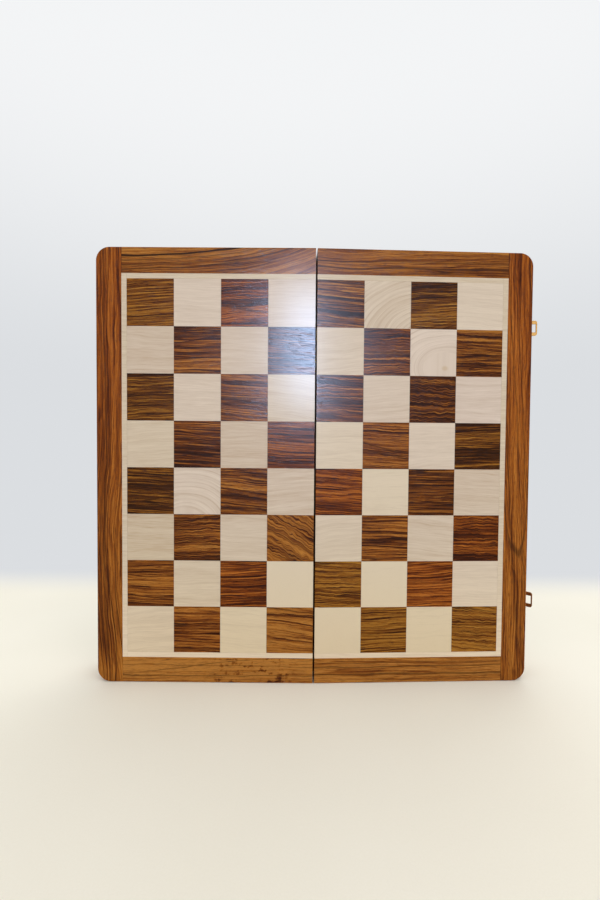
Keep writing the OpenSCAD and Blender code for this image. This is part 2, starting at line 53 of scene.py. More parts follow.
class Strand:
    """A number, place or colour on its way through one finish's nodes."""

    def __init__(self, tree, socket):
        self.tree, self.socket = tree, socket

    def node(self, kind, settings, sockets, out=0):
        """Adds a node: its settings first, then the values or strands of its sockets."""
        made = self.tree.nodes.new(kind)
        for name, value in settings.items():
            if name == "stops":
                ramp = made.color_ramp.elements
                for k, (position, colour) in enumerate(value):
                    stop = ramp[k] if k < 2 else ramp.new(position)
                    stop.position, stop.color = position, (*colour, 1)
            else:
                setattr(made, name, value)
        for name, value in sockets.items():
            if isinstance(value, Strand):
                self.tree.links.new(value.socket, made.inputs[name])
            else:
                made.inputs[name].default_value = value
        return Strand(self.tree, made.outputs[out])

    def maths(self, operation, *values):
        return self.node("ShaderNodeMath", {"operation": operation}, dict(enumerate(values)))

    def __add__(self, other): return self.maths("ADD", self, other)
    def __radd__(self, other): return self.maths("ADD", other, self)
    def __sub__(self, other): return self.maths("SUBTRACT", self, other)
    def __rsub__(self, other): return self.maths("SUBTRACT", other, self)
    def __mul__(self, other): return self.maths("MULTIPLY", self, other)
    def __rmul__(self, other): return self.maths("MULTIPLY", other, self)
    def __truediv__(self, other): return self.maths("DIVIDE", self, other)
    def __rtruediv__(self, other): return self.maths("DIVIDE", other, self)
    def __abs__(self): return self.maths("ABSOLUTE", self)

    def floor(self): return self.maths("FLOOR", self)
    def fract(self): return self.maths("FRACT", self)
    def most(self, other): return self.maths("MAXIMUM", self, other)

    def between(self, low, high):
        """0 below low and 1 above high, with a soft step in between."""
        return self.node("ShaderNodeMapRange", {"interpolation_type": "SMOOTHSTEP"},
                         {"Value": self, "From Min": low, "From Max": high})

    def axes(self):
        """The three numbers of a place."""
        split = self.node("ShaderNodeSeparateXYZ", {}, {"Vector": self})
        return [Strand(self.tree, out) for out in split.socket.node.outputs]

    def place(self, x, y, z):
        return self.node("ShaderNodeCombineXYZ", {}, {"X": x, "Y": y, "Z": z})

    def noise(self, detail, roughness=0.5):
        """Noise at this place, whose numbers are counted in noise cells."""
        return self.node("ShaderNodeTexNoise", {"noise_dimensions": "3D"},
                         {"Vector": self, "Scale": 1.0, "Detail": detail, "Roughness": roughness})

    def chance(self, out="Color"):
        """A colour or number that is the same for all equal places."""
        return self.node("ShaderNodeTexWhiteNoise", {"noise_dimensions": "3D"},
                         {"Vector": self}, out)

    def mix(self, a, b, blend="MIX"):
        """Colour a where this number is 0, colour b where it is 1."""
        a, b = (colour if isinstance(colour, Strand) else (*colour, 1) for colour in (a, b))
        return self.node("ShaderNodeMix", {"data_type": "RGBA", "blend_type": blend},
                         {0: self, 6: a, 7: b}, 2)

    def stain(self, tint):
        """This colour, stained all over with another."""
        return self.node("ShaderNodeMix", {"data_type": "RGBA", "blend_type": "MULTIPLY"},
                         {0: 1.0, 6: self, 7: (*tint, 1)}, 2)

    def ramp(self, *stops):
        return self.node("ShaderNodeValToRGB", {"stops": stops}, {"Fac": self})

    def bump(self, strength, distance):
        """A dent or ridge of that many metres for each 1 of this number."""
        return self.node("ShaderNodeBump", {},
                         {"Strength": strength, "Distance": distance, "Height": self})


# The right half stands folded back by this angle, about a hinge this far behind the middle
fold_back = max(joint["range_deg"][1] for joint in frame["joints"] if joint["name"] == "fold")
hinge_y = 16.5


def new_finish(name, half=None):
    """A material, its shader, and the place on the piece in millimetres.
    The right half's places are those it has when it is laid flat."""
    material = bpy.data.materials.new(name)
    material.use_nodes = True
    tree = material.node_tree
    shader = tree.nodes["Principled BSDF"]
    start = Strand(tree, tree.nodes.new("ShaderNodeTexCoord").outputs["Object"])
    turn = math.radians(fold_back) if half == "right" else 0
    place = start.node("ShaderNodeMapping", {"vector_type": "POINT"}, {
        "Vector": start, "Scale": (1000, 1000, 1000), "Rotation": (0, 0, -turn),
        "Location": (-hinge_y * math.sin(turn), hinge_y * (1 - math.cos(turn)), 0)})
    return material, shader, place


def feed(shader, **strands):
    """Joins strands to the shader's sockets."""
    for name, strand in strands.items():
        strand.tree.links.new(strand.socket, shader.inputs[name.replace("_", " ")])


def sheesham(name, half, grain, seed, bias=0.0, contrast=1.0, slant=0.0, cut=None, lines=(),
             tint=None, joint=None, lean=None):
    """Sheesham under satin lacquer, its grain along the axis named. Bias moves it towards gold,
    and slant tips its level bands. Cut says how the board is sawn, tint stains it, and lean tips
    its lacquer. Lines are dark veins: their place across the grain, half width and strength.
    Joint is where a glue line shows."""
    material, shader, place = new_finish(name, half)
    x, y, z = place.axes()
    along, across, depth = (z, x, y) if grain == "Z" else (x, z, y)
    marks = place.place(along * 2.2, across * 0.2, depth * 0.5).noise(1, 0.6)
    if cut:
        along, across, depth, bias = cut(place, along, across, depth, bias)
    ripple = place.place(along * 0.030, across * 0.09 + seed, depth * 0.09).noise(1) * 3.0 - 1.5
    level = across + along * slant + (depth + hinge_y) * 0.5 + ripple
    across = across + ripple
    sway = place.place(along * 0.006 + seed, across * 0.022, depth * 0.022).noise(0) * 12.0 - 6.0
    across, ring = across + sway, level + sway
    bands = place.place(along * 0.0025, ring * 0.085 + seed, depth * 0.085).noise(1) - 0.5
    streaks = place.place(along * 0.0065 + seed, across * 0.75, depth * 0.75).noise(2, 0.65) - 0.5
    threads = place.place(along * 0.026, across * 2.4 + seed, depth * 2.4).noise(2, 0.75) - 0.5
    pores = place.place(along * 0.17, across * 3.6, depth * 3.6 + seed).noise(1, 0.6)
    pores = pores.between(0.55, 0.66)
    vein = place.place(along * 0.0035 + seed, across * 0.055, depth * 0.055 + 4.4).noise(0) - 0.5
    vein = (1 - abs(vein).between(0.002, 0.010)) * 0.62
    for middle, width, strength in lines:
        vein = vein.most((1 - abs(level - middle).between(width * 0.5, width)) * strength)
    if joint:
        vein = vein.most(abs(x).between(joint - 0.35, joint) * 0.75)
    figure = place.place(along * 0.008 + seed, across * 0.05, depth * 0.05).noise(2)
    year = ring * 0.21 + figure * 6.0 + threads * 0.5
    season = ring * 0.62 + figure * 11.0 + threads
    fade = place.place(along * 0.012, across * 0.12 + seed, depth * 0.12 + 9.1).noise(1)
    late = (year.fract().between(0.45, 0.97) * fade.between(0.40, 0.62) * 0.55
            + season.fract().between(0.40, 0.96) * (1 - fade.between(0.36, 0.60)) * 0.42)
    dashes = place.place(along * 0.085, across * 1.05 + seed, depth * 1.05).noise(2, 0.7)
    dashes = dashes.between(0.585, 0.665)
    figured = bands * 1.2 + streaks * 2.1 + threads * 2.7 - late * 0.75 - dashes * 0.28
    tone = figured * contrast + 0.62 + bias
    colour = tone.ramp((0.04, (0.030, 0.0080, 0.0018)), (0.25, (0.064, 0.0165, 0.0032)),
                       (0.42, (0.132, 0.035, 0.0062)), (0.58, (0.228, 0.068, 0.0100)),
                       (0.76, (0.340, 0.118, 0.0180)), (0.98, (0.470, 0.195, 0.0380)))
    if tint:
        colour = tint(place, colour)
    colour = vein.mix(colour, (0.026, 0.008, 0.002))
    colour = (pores * 0.5).mix(colour, (0.020, 0.007, 0.0025))
    height = threads * 0.24 + marks * 0.62 - pores * 0.6
    if lean:
        height = lean(place) + height
    feed(shader, Base_Color=colour, Roughness=0.22 + pores * 0.15 - threads * 0.04,
         Normal=height.bump(0.4, 0.00003))
    shader.inputs["Specular IOR Level"].default_value = 0.062
    return material


def dress(material, *nodes):
    """Gives CAD nodes their material."""
    for name in nodes:
        node = frame["nodes"][name]
        node.data.materials.clear()
        node.data.materials.append(material)


def painted_foot_light(place, colour):
    """Painted light: the stain is paler and yellower towards the board's foot, where more light
    falls, and redder and darker towards its top.
    """
    # Painted light: paler and yellower at the foot, redder and darker higher up
    high = place.axes()[2].between(40.0, 300.0)
    return high.mix(colour.stain((1.0, 0.92, 0.74)), colour.stain((1.0, 0.78, 0.58)))


def heart(place, along, across, depth, bias):
    """Redder and slanting towards the foot, golden at the very bottom."""
    low = 1 - along.between(60.0, 190.0)
    gold = 1 - along.between(8.0, 34.0)
    return along, across + low * along * 0.05, depth, bias - low * 0.05 + gold * 0.24


dress(sheesham("left stile sheesham", "left", "Z", 3.0, bias=0.06, contrast=0.56, slant=0.012,
               lines=((-167.0, 1.0, 0.45), (-164.6, 0.5, 0.4), (-169.6, 0.6, 0.35)),
               cut=heart, tint=painted_foot_light), "left_stile")
dress(sheesham("right stile sheesham", "right", "Z", 8.6, bias=0.09, contrast=0.56, slant=0.07,
               lines=((181.0, 0.5, 0.5), (186.5, 0.6, 0.45), (172.0, 0.7, 0.5)),
               tint=painted_foot_light), "right_stile")

# Rails. Four shorter sheesham boards with level grain butt against the stiles at top and bottom.
# A fine dark glue line shows where each meets its stile. The left top rail is from a curved stem.
# The seam walls, of the same wood, close each half along the fold.


def curved_stem(place, along, across, depth, bias):
    """The grain rises towards the seam, more and more steeply."""
    far = (along + 156.0).most(0.0) / 104.0
    return along, across - far * far * (far * 6.0 + 2.6), depth, bias


def smudged(place, along, across, depth, bias):
    """Dark mineral smudges in the half of the board that is nearer the seam."""
    span = along.between(-98.0, -70.0) * (1 - along.between(-28.0, -10.0))
    smudges = place.place(along * 0.17, across * 0.16 + 2.0, depth * 0.1).noise(3, 0.65)
    return along, across, depth, bias - smudges.between(0.47, 0.66) * span * 0.60


def swirl(place, along, across, depth, bias):
    """The grain dips near the seam, where the board is a little darker."""
    far = 1 - along.between(0.0, 60.0)
    return along, across + far * along * 0.12, depth, bias - far * 0.05


rail_end = 156.6
# Half, end, seed, bias, how it is cut, and its dark lines
rails = (("left", "top", 11.0, 0.13, curved_stem,
          ((349.0, 1.1, 0.95), (345.2, 0.6, 0.6), (341.5, 0.7, 0.5), (338.0, 0.8, 0.6))),
         ("left", "bottom", 17.0, 0.44, smudged, ((6.0, 0.7, 0.5), (14.5, 0.5, 0.4))),
         ("right", "top", 23.0, 0.05, swirl, ((341.0, 0.9, 0.7), (346.0, 0.6, 0.5))),
         ("right", "bottom", 31.0, 0.36, None,
          ((7.5, 0.9, 0.6), (13.5, 0.7, 0.6), (17.0, 0.5, 0.4))))
for half, end, seed, bias, cut, lines in rails:
    dress(sheesham(f"{half} {end} rail sheesham", half, "X", seed, bias=bias, contrast=0.58,
                   cut=cut, lines=lines, joint=rail_end), f"{half}_{end}_rail")
for half, seed in (("left", 41.0), ("right", 43.0)):
    dress(sheesham(f"{half} seam wall sheesham", half, "Z", seed, bias=0.05, contrast=0.7),
          f"{half}_seam_wall")

# Dark squares. Tiles of dark streaked sheesham 38 mm wide, glued to the panel with level grain.
# Each is cut from another board, so tone, streaks and slope change from square to square. One low
# on the left, beside the seam, is curly and golden, and one high on the right is the darkest.
square_w = 38.1
field_z = 25.4  # the lower edge of the lowest row


def cell(place):
    """The column and the row of the square at a place, counted from the seam and from the foot."""
    x, _, z = place.axes()
    return (x / square_w).floor(), ((z - field_z) / square_w).floor()


def only(column, row, chosen):
    """1 on the chosen square, 0 elsewhere."""
    apart = abs(column - chosen[0]) + abs(row - chosen[1])
    return apart.maths("LESS_THAN", apart, 0.5)


def among(column, row, squares):
    """1 on each of these squares, 0 elsewhere."""
    return sum((only(column, row, chosen) for chosen in squares), 0.0)


# A square's figure comes from anywhere within these lengths of the wood
far_along, far_across = 900.0, 700.0
# Squares that stand out, by column and row
curly_square, darkest_square = (-1, 2), (2, 5)
darker = ((-2, 1), (-3, 2), (-4, 5), (-3, 4), (2, 7), (3, 2))
lighter = ((2, 1), (3, 0), (1, 0), (-1, 0), (3, 6))


def offcuts(place, along, across, depth, bias):
    """Each square is cut from another board: its grain is moved, tipped and toned by chance.
    The lowest rows are painted a little lighter and warmer, as painted light towards the foot of
    the board."""
    column, row = cell(place)
    slid, raised, tipped = place.place(column, row, 0.5).chance().axes()
    sunk, toned, waved = place.place(column, row, 7.5).chance().axes()
    curly, darkest = only(column, row, curly_square), only(column, row, darkest_square)
    shade = among(column, row, lighter) * 0.14 - among(column, row, darker) * 0.08 - darkest * 0.46
    across = across + along * ((tipped - 0.5) * 0.14 + curly * 0.55)
    wavy = place.place(along * 0.16, across * 0.12, depth * 0.1).noise(1) - 0.5
    # Painted light: the lowest rows are lighter and warmer
    painted_low_light = 1 - row.between(0.0, 3.0)
    waves = wavy * (curly * 7.0 + darkest * 4.0 + waved * waved * 3.5)
    own = (toned - 0.5) * 0.26 + curly * 0.38 + painted_low_light * 0.08 + shade
    return (along + slid * far_along, across + raised * far_across + waves, depth + sunk * 500.0,
            own + bias)


# Tile, rise towards the right and drop towards its top
leaning_tiles = (((1, 6), 2.9, 0.0), ((0, 5), 1.2, 1.3))


def leaning(place):
    """Some tiles lie a degree or so out of level, so the lacquer over them catches the window."""
    x, _, z = place.axes()
    column, row = cell(place)
    return sum((only(column, row, tile) * (x * rise - z * drop)
                for tile, rise, drop in leaning_tiles), 0.0)


redder = ((-2, 1), (2, 1), (3, 2), (-1, 4), (-2, 7), (0, 3))
olive = ((0, 1), (1, 0), (3, 0), (-4, 5), (-4, 7), (-4, 3), (3, 4), (2, 7))


def boards(place, colour):
    """Some squares come from redder boards and some from olive ones; the rest lie between."""
    column, row = cell(place)
    red, green, _ = place.place(column, row, 2.5).chance().axes()
    red = among(column, row, redder) + red * 0.35
    green = among(column, row, olive) + green * 0.35
    colour = red.mix(colour, (1.04, 0.80, 0.62), "MULTIPLY")
    return green.mix(colour, (0.88, 1.00, 0.78), "MULTIPLY")


for half, seed, bias in (("left", 51.0, -0.12), ("right", 57.0, -0.07)):
    dress(sheesham(f"{half} dark squares", half, "X", seed, bias=bias, contrast=0.94, cut=offcuts,
                   tint=boards, lean=leaning), f"{half}_dark_squares")

# Light squares and strips. Pale maple tiles, and strips of the same wood that run round the field.
# The tiles' grain is level and faint. A few cut nearer the bark show wide arcs, one round a knot.
palest = ((1, 1), (0, 0), (-1, 1))
# Duller squares; those of the leftmost column carry painted shade, where the light falls off
# towards the left edge
duller_and_shaded = ((-4, 2), (-4, 4), (-4, 6), (3, 3), (3, 5))
# The squares with arcs, each with the middle of its rings
arcs = {"left": (((-3, 3), (-105.0, 132.0)),),
        "right": (((1, 7), (92.0, 281.0)), ((2, 6), (105.0, 260.5)), ((1, 2), (80.0, 92.0)))}


def maple(name, half, tiles):
    """Pale maple under satin lacquer, as a row of tiles or as one strip."""
    material, shader, place = new_finish(name, half)
    x, y, z = place.axes()
    along, across, depth, tone, bent, knot = x, z, y, 0.0, 0.0, 0.0
    if tiles:
        column, row = cell(place)
        slid, raised, tipped = place.place(column, row, 3.5).chance().axes()
        yellow, toned, cool = place.place(column, row, 9.5).chance().axes()
        across = across + raised * far_across + (tipped - 0.5) * 0.22 * along
        along, depth = along + slid * far_along, depth + yellow * 300.0
        # Painted shade on the leftmost column's squares, through the duller list
        tone = (toned - 0.5 + among(column, row, palest) - among(column, row, duller_and_shaded) * 0.5
                + (0.3 if half == "right" else 0.06))
        for chosen, (ring_x, ring_z) in arcs[half]:
            here = only(column, row, chosen)
            ring = (x - ring_x) * (x - ring_x) * 0.6 + (z - ring_z) * (z - ring_z)
            ring = ring.maths("SQRT", ring)
            across = across + here * (ring.most(13.0) * 0.8 - across)
            bent = here * ring.between(12.0, 16.0) + bent
            knot = here * (1 - ring.between(0.8, 2.8)) + knot
    ripple = place.place(along * 0.03, across * 0.07, depth * 0.07).noise(1) - 0.5
    across = across + ripple * 5.0
    years = place.place(along * 0.006, across * 0.30, depth * 0.30).noise(2, 0.6) - 0.5
    threads = place.place(along * 0.06, across * 1.5, depth * 1.5).noise(2, 0.6) - 0.5
    flecks = place.place(along * 0.5, across * 2.4, depth * 2.4).noise(1).between(0.62, 0.72)
    # Painted light: towards the foot of the board the maple is painted lighter
    low = 1 - z.between(0.0, 130.0)
    growth = (across * 0.36 + years * 1.2).fract().between(0.62, 0.97) * bent
    value = (years * (0.8 + bent * 0.3) + threads - growth * 0.30 + 0.56 + tone * 0.5
             + low * 0.25)
    colour = value.ramp((0.05, (0.515, 0.380, 0.265)), (0.38, (0.608, 0.493, 0.374)),
                        (0.60, (0.656, 0.548, 0.430)), (0.95, (0.73, 0.623, 0.495)))
    if tiles:
        colour = cool.mix(colour, (1.0, 0.995, 1.05), "MULTIPLY")
        colour = (yellow * 0.7).mix(colour, (0.98, 0.98, 0.90), "MULTIPLY")
        # Painted light: the tiles are warmer towards the foot of the board, cooler and bluer higher
        # up
        colour = low.mix(colour, (1.05, 1.005, 0.90), "MULTIPLY")
        colour = z.between(60.0, 200.0).mix(colour, (1.0, 0.995, 1.045), "MULTIPLY")
        colour = (knot * 0.45).mix(colour, (0.52, 0.36, 0.19))
    else:
        # Painted light: the strips are painted brighter towards the foot of the board
        colour = low.mix(colour, (1.16, 1.12, 1.05), "MULTIPLY")
    colour = (flecks * 0.10).mix(colour, (0.50, 0.36, 0.22))
    marks = place.place(x * 2.2, z * 0.2, y * 0.5).noise(1, 0.6)
    feed(shader, Base_Color=colour, Roughness=0.22 + threads * 0.08,
         Normal=(threads + marks * 0.6).bump(0.3, 0.00002))
    shader.inputs["Specular IOR Level"].default_value = 0.042
    return material


for half in ("left", "right"):
    dress(maple(f"{half} light squares", half, tiles=True), f"{half}_light_squares")
    dress(maple(f"{half} strips", half, tiles=False), f"{half}_border_strips")

# Panels. Each half's squares are glued to a sheet of birch plywood, let into the frame.
# Its face grain runs upright, and its edges show three thin plies.
ply_t = 1.33


def plywood(name, half):
    """Birch plywood, its plies lying one behind the other."""
    material, shader, place = new_finish(name, half)
    x, y, z = place.axes()
    grain = place.place(x * 0.5, y * 0.5, z * 0.012).noise(3, 0.6)
    fibre = place.place(x * 2.5, y * 2.5, z * 0.06).noise(2, 0.6)
    ply = abs((y / ply_t).fract() - 0.5).between(0.30, 0.42)
    colour = (grain * 1.4 + fibre * 0.5 - 0.45).ramp(
        (0.1, (0.50, 0.34, 0.19)), (0.9, (0.70, 0.53, 0.33)))
    feed(shader, Base_Color=(ply * 0.35).mix(colour, (0.30, 0.18, 0.09)),
         Roughness=0.55 + fibre * 0.2, Normal=fibre.bump(0.4, 0.00004))
    return material


for half in ("left", "right"):
    dress(plywood(f"{half} plywood", half), f"{half}_panel")

# Hinges, latches and screws. Two butt hinges of pressed brass sit in the seam walls. Two latches
# with a window turn on the right half's side, and two knobs on the left half catch them. The brass
# is lacquered, and has gone brown in patches and along the grain of its polish.


def brass(name, half, polish=0.0):
    """Lacquered brass; polish brightens it."""
    material, shader, place = new_finish(name, half)
    x, y, z = place.axes()
    blotch = place.place(x * 0.35, y * 0.35, z * 0.35).noise(3, 0.6)
    brush = place.place(x * 1.5, y * 1.5, z * 9.0).noise(2, 0.7)
    spots = place.place(x * 1.3, y * 1.3, z * 1.3).noise(2, 0.6).between(0.60, 0.72)
    colour = (blotch * 0.8 + 0.02 + brush * 0.4 + polish).ramp(
        (0.15, (0.120, 0.045, 0.012)), (0.50, (0.300, 0.130, 0.030)), (0.85, (0.480, 0.240, 0.065)))
    colour = (spots * 0.45).mix(colour, (0.075, 0.032, 0.014))
    feed(shader, Base_Color=colour, Roughness=0.20 + brush * 0.20 + spots * 0.15,
         Normal=brush.bump(0.3, 0.00002))
    shader.inputs["Metallic"].default_value = 1
    return material


dress(brass("left brass", "left"), "hinge_pins", "latch_catches", "left_hinge_leaves")
dress(brass("right brass", "right"), "latch_leaves", "latch_pins", "upper_latch_flap",
      "lower_latch_flap", "right_hinge_leaves")
for half in ("left", "right"):
    dress(brass(f"{half} screw brass", half, polish=0.45), f"{half}_screws")

# Inserts. A 16 mm sheet of foam, flocked with green velvet, fills the hollow back of each half.
# Every piece has its slot: wide at the foot, narrow along the body, with soft rounded rims.
row_pitch = 42.075
first_row = 346.1 - row_pitch / 2
# Where the officers' feet and the pawns' feet stand, and how deep the back of a foot lies
officer_x, pawn_x, foot_y = 28.05, 147.05, -23.3
foam_low, foam_high = (9.35, -25.8, 9.8), (167.75, -9.8, 345.8)
# A slot's depth, its play round the piece, the length of its wide end, and the radius of its rims
slot_depth, slack, foot_room, rim = 13.8, 0.3, 9.3, 0.9
# Lines scored along the whole sheet: outside all the slots, and down both sides of the middle rib
near_edge, rib_near, rib_far, far_edge = 18.0, 101.0, 106.0, 158.0
# The officers from the top row down, as in the order of play
kinds = ("rook_1", "knight_1", "bishop_1", "queen", "king", "bishop_2", "knight_2", "rook_2")
# Foot width, body width and height
measures = {"rook": (19.8, 16.0, 37.0), "knight": (19.8, 19.8, 43.0), "bishop": (19.8, 12.6, 48.0),
            "queen": (21.4, 14.0, 55.0), "king": (22.4, 14.0, 62.0), "pawn": (17.6, 11.2, 33.0)}


def half_place(half):
    """From a half's own millimetres, lying right of the seam with the hinge at y = 0,
    to the scene's metres."""
    there = Matrix.Rotation(math.radians(fold_back), 4, "Z")
    if half == "left":
        there = Matrix.Scale(-1, 4, (1, 0, 0))
    return Matrix.Scale(0.001, 4) @ Matrix.Translation((0, hinge_y, 0)) @ there


def mesh_of(shape, name):
    """The mesh of a finished shape, which is then put away."""
    mesh = bpy.data.meshes.new(name)
    shape.to_mesh(mesh)
    shape.free()
    return mesh


def bring_in(name, data):
    """An object of a mesh, a lamp or a camera, in the scene."""
    thing = bpy.data.objects.new(name, data)
    bpy.context.scene.collection.objects.link(thing)
    return thing


def add_piece(shape, name, body, node, materials, crease=35):
    """Makes one piece of a shape in metres, riding on its body in place of its node."""
    bmesh.ops.recalc_face_normals(shape, faces=shape.faces)
    mesh = mesh_of(shape, name)
    mesh.shade_smooth()
    mesh.set_sharp_from_angle(angle=math.radians(crease))
    for material in materials:
        mesh.materials.append(material)
    piece = bring_in(name, mesh)
    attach(piece, body)
    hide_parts(node)
    return piece


def velvet(name, half, scale=1.0):
    """Short green flock: dark head on, paler at a slant, brushed in patches."""
    material, shader, place = new_finish(name, half)
    x, y, z = place.axes()
    brushed = place.place(x * 0.045, y * 0.06, z * 0.045).noise(3, 0.6)
    nap = place.place(x * 2.6 * scale, y * 2.6 * scale, z * 2.6 * scale).noise(2, 0.7)
    lint = place.place(x * 0.8, y * 0.8, z * 0.8).noise(2, 0.8).between(0.70, 0.78)
    colour = (brushed * 1.5 + nap * 0.9 - 0.75).ramp(
        (0.1, (0.006, 0.050, 0.024)), (0.5, (0.012, 0.090, 0.042)), (0.9, (0.030, 0.150, 0.075)))
    feed(shader, Base_Color=(lint * 0.12).mix(colour, (0.30, 0.38, 0.30)),
         Roughness=0.82 + nap * 0.15, Normal=nap.bump(0.6, 0.00025))
    shader.inputs["Sheen Weight"].default_value = 0.6
    shader.inputs["Sheen Roughness"].default_value = 0.35
    shader.inputs["Sheen Tint"].default_value = (0.35, 0.85, 0.52, 1)
    shader.inputs["Specular IOR Level"].default_value = 0.15
    return material


def slot_parts(row):
    """Each slot's wide end and its narrow end, as x and z limits in the half's millimetres."""
    middle = first_row - row * row_pitch
    for kind, start, way in ((kinds[row].split("_")[0], officer_x, 1), ("pawn", pawn_x, -1)):
        foot, body, long = measures[kind]
        for near, far, width in ((-slack, foot_room, foot), (foot_room, long + slack, body)):
            ends = sorted((start + way * near, start + way * far))
            yield (*ends, middle - width / 2 - slack, middle + width / 2 + slack)


def block(low, high, turn=None):
    """A block between two corners, turned about the origin."""
    low, high = Vector(low), Vector(high)
    shape = bmesh.new()
    place = Matrix.Translation((low + high) / 2) @ Matrix.Diagonal(high - low).to_4x4()
    bmesh.ops.create_cube(shape, size=1, matrix=(turn or Matrix()) @ place)
    return shape


def score(sheet, axis, place, faces):
    """Cuts a line across some faces of a sheet."""
    normal = (1, 0, 0) if axis == "x" else (0, 0, 1)
    edges = {edge for face in faces for edge in face.edges}
    verts = {vert for face in faces for vert in face.verts}
    bmesh.ops.bisect_plane(sheet, geom=[*verts, *edges, *faces], dist=0.0001,
                           plane_co=[a * place for a in normal], plane_no=normal)


def top_within(sheet, x0, x1, z0, z1):
    """The faces of a sheet's upper side that lie between these limits."""
    sheet.normal_update()
    middles = [(face, face.calc_center_median()) for face in sheet.faces if face.normal.y > 0.9]
    return [face for face, at in middles if x0 < at.x < x1 and z0 < at.z < z1]


def corners_of(geometry):
    """The corners among some faces, edges and corners."""
    return [part for part in geometry if isinstance(part, bmesh.types.BMVert)]


def foam_sheet():
    """A half's sheet of foam, with every slot pressed into it and its rims rounded."""
    foam = block(foam_low, foam_high)
    for row in range(1, 8):
        score(foam, "z", first_row + (0.5 - row) * row_pitch, foam.faces[:])
    for x in (near_edge, rib_near, rib_far, far_edge):
        score(foam, "x", x, foam.faces[:])
    for row in range(8):
        bottom = first_row - (row + 0.5) * row_pitch
        for x0, x1, _, _ in slot_parts(row):
            for x in (x0, x1):
                strip = top_within(foam, near_edge, far_edge, bottom, bottom + row_pitch)
                score(foam, "x", x, strip)
        for x0, x1, z0, z1 in slot_parts(row):
            for z in (z0, z1):
                score(foam, "z", z, top_within(foam, x0, x1, bottom, bottom + row_pitch))
    mouths = [face for row in range(8) for limits in slot_parts(row)
              for face in top_within(foam, *limits)]
    pressed = bmesh.ops.extrude_face_region(foam, geom=mouths)["geom"]
    bmesh.ops.delete(foam, geom=mouths, context="FACES")
    bmesh.ops.translate(foam, vec=(0, -slot_depth, 0), verts=corners_of(pressed))
    foam.normal_update()
    rims = [edge for edge in foam.edges
            if len(edge.link_faces) == 2 and edge.calc_face_angle() > 1.2
            and all(vert.co.y > foam_high[1] - 0.1 for vert in edge.verts)]
    bmesh.ops.bevel(foam, geom=rims, offset=rim, offset_type="OFFSET", segments=4, profile=0.5,
                    affect="EDGES", material=-1)
    return foam


for half in ("left", "right"):
    foam = foam_sheet()
    bmesh.ops.transform(foam, matrix=half_place(half), verts=foam.verts)
    insert = add_piece(foam, f"{half}_velvet_insert", f"{half}_half", f"{half}_insert",
                       [velvet(f"{half} velvet", half)], 60)

# Pawns. Small turned pieces with a ball for a head, and felt under the foot to spare the board.
# The light ones are boxwood and the dark ones sheesham. Each lies in its slot, its foot outwards.


def bow(x, z, rx, rz, start, end, steps):
    """Points on a part of an ellipse about x, z, from one angle in degrees to another."""
    turns = [math.radians(start + (end - start) * i / steps) for i in range(steps + 1)]
    return [(x + rx * math.cos(a), z + rz * math.sin(a)) for a in turns]


def foot(kind, stem, top):
    """Felt, plinth, bead, and the hollow sweep up to a stem of that radius."""
    r = measures[kind][0] / 2
    return ([(0, 0), (r - 1.0, 0), (r - 1.0, 0.7), (r - 0.35, 0.7)]
            + bow(r - 0.35, 1.05, 0.35, 0.35, -90, 0, 3) + bow(r - 1.15, 2.05, 1.15, 1.2, 0, 88, 7)
            + [(r - 1.75, 3.3), (r - 1.9, 3.45), (r - 1.9, 3.8)]
            + bow(r - 2.35, 4.55, 0.85, 0.75, -60, 88, 9)
            + bow(r - 2.8, top, r - 2.8 - stem, top - 5.3, 268, 181, 16))


def collars(r, z):
    """Two turned beads, the lower one wider."""
    return ([(r - 1.6, z)] + bow(r - 0.9, z + 0.85, 0.9, 0.75, -75, 80, 10)
            + [(r - 1.55, z + 1.7)] + bow(r - 2.0, z + 2.35, 0.65, 0.5, -75, 80, 8)
            + [(r - 2.4, z + 3.0), (r - 2.4, z + 3.2)])


def turned(outline, steps=64):
    """An outline of radii and heights, turned round the upright axis."""
    shape = bmesh.new()
    line = [shape.verts.new((x, 0, z)) for x, z in outline]
    for a, b in zip(line, line[1:]):
        shape.edges.new((a, b))
    bmesh.ops.spin(shape, geom=shape.verts[:] + shape.edges[:], cent=(0, 0, 0), axis=(0, 0, 1),
                   dvec=(0, 0, 0), angle=math.tau, steps=steps, use_merge=True)
    bmesh.ops.remove_doubles(shape, verts=shape.verts, dist=0.0005)
    return shape


def boxwood(name, half):
    """Fine even yellow wood, polished, with faint darker years along the piece."""
    material, shader, place = new_finish(name, half)
    x, y, z = place.axes()
    row, out = ((z - 9.0) / row_pitch).floor(), abs(x)
    own = place.place(row, out.maths("GREATER_THAN", out, 105.0), 1.0).chance("Value")
    years = place.place(x * 0.02, y * 0.45, z * 0.45 + own * 40.0).noise(3, 0.6)
    fibre = place.place(x * 0.15, y * 2.6, z * 2.6).noise(2, 0.6)
    colour = (years * 1.1 + fibre * 0.5 - 0.3 + (own - 0.5) * 0.25).ramp(
        (0.1, (0.52, 0.31, 0.125)), (0.5, (0.66, 0.43, 0.20)), (0.9, (0.75, 0.53, 0.28)))
    feed(shader, Base_Color=colour, Roughness=0.30 + fibre * 0.12, Normal=fibre.bump(0.3, 0.00002))
    shader.inputs["Coat Weight"].default_value = 0.25
    shader.inputs["Coat Roughness"].default_value = 0.15
    return material


woods = {"light": boxwood("boxwood pieces", "left"),
         "dark": sheesham("dark pieces sheesham", "right", "X", 71.0, bias=-0.08, contrast=0.55)}
felts = {"light": velvet("light pieces felt", "left", 0.6),
         "dark": velvet("dark pieces felt", "right", 0.6)}
felt_t = 0.7


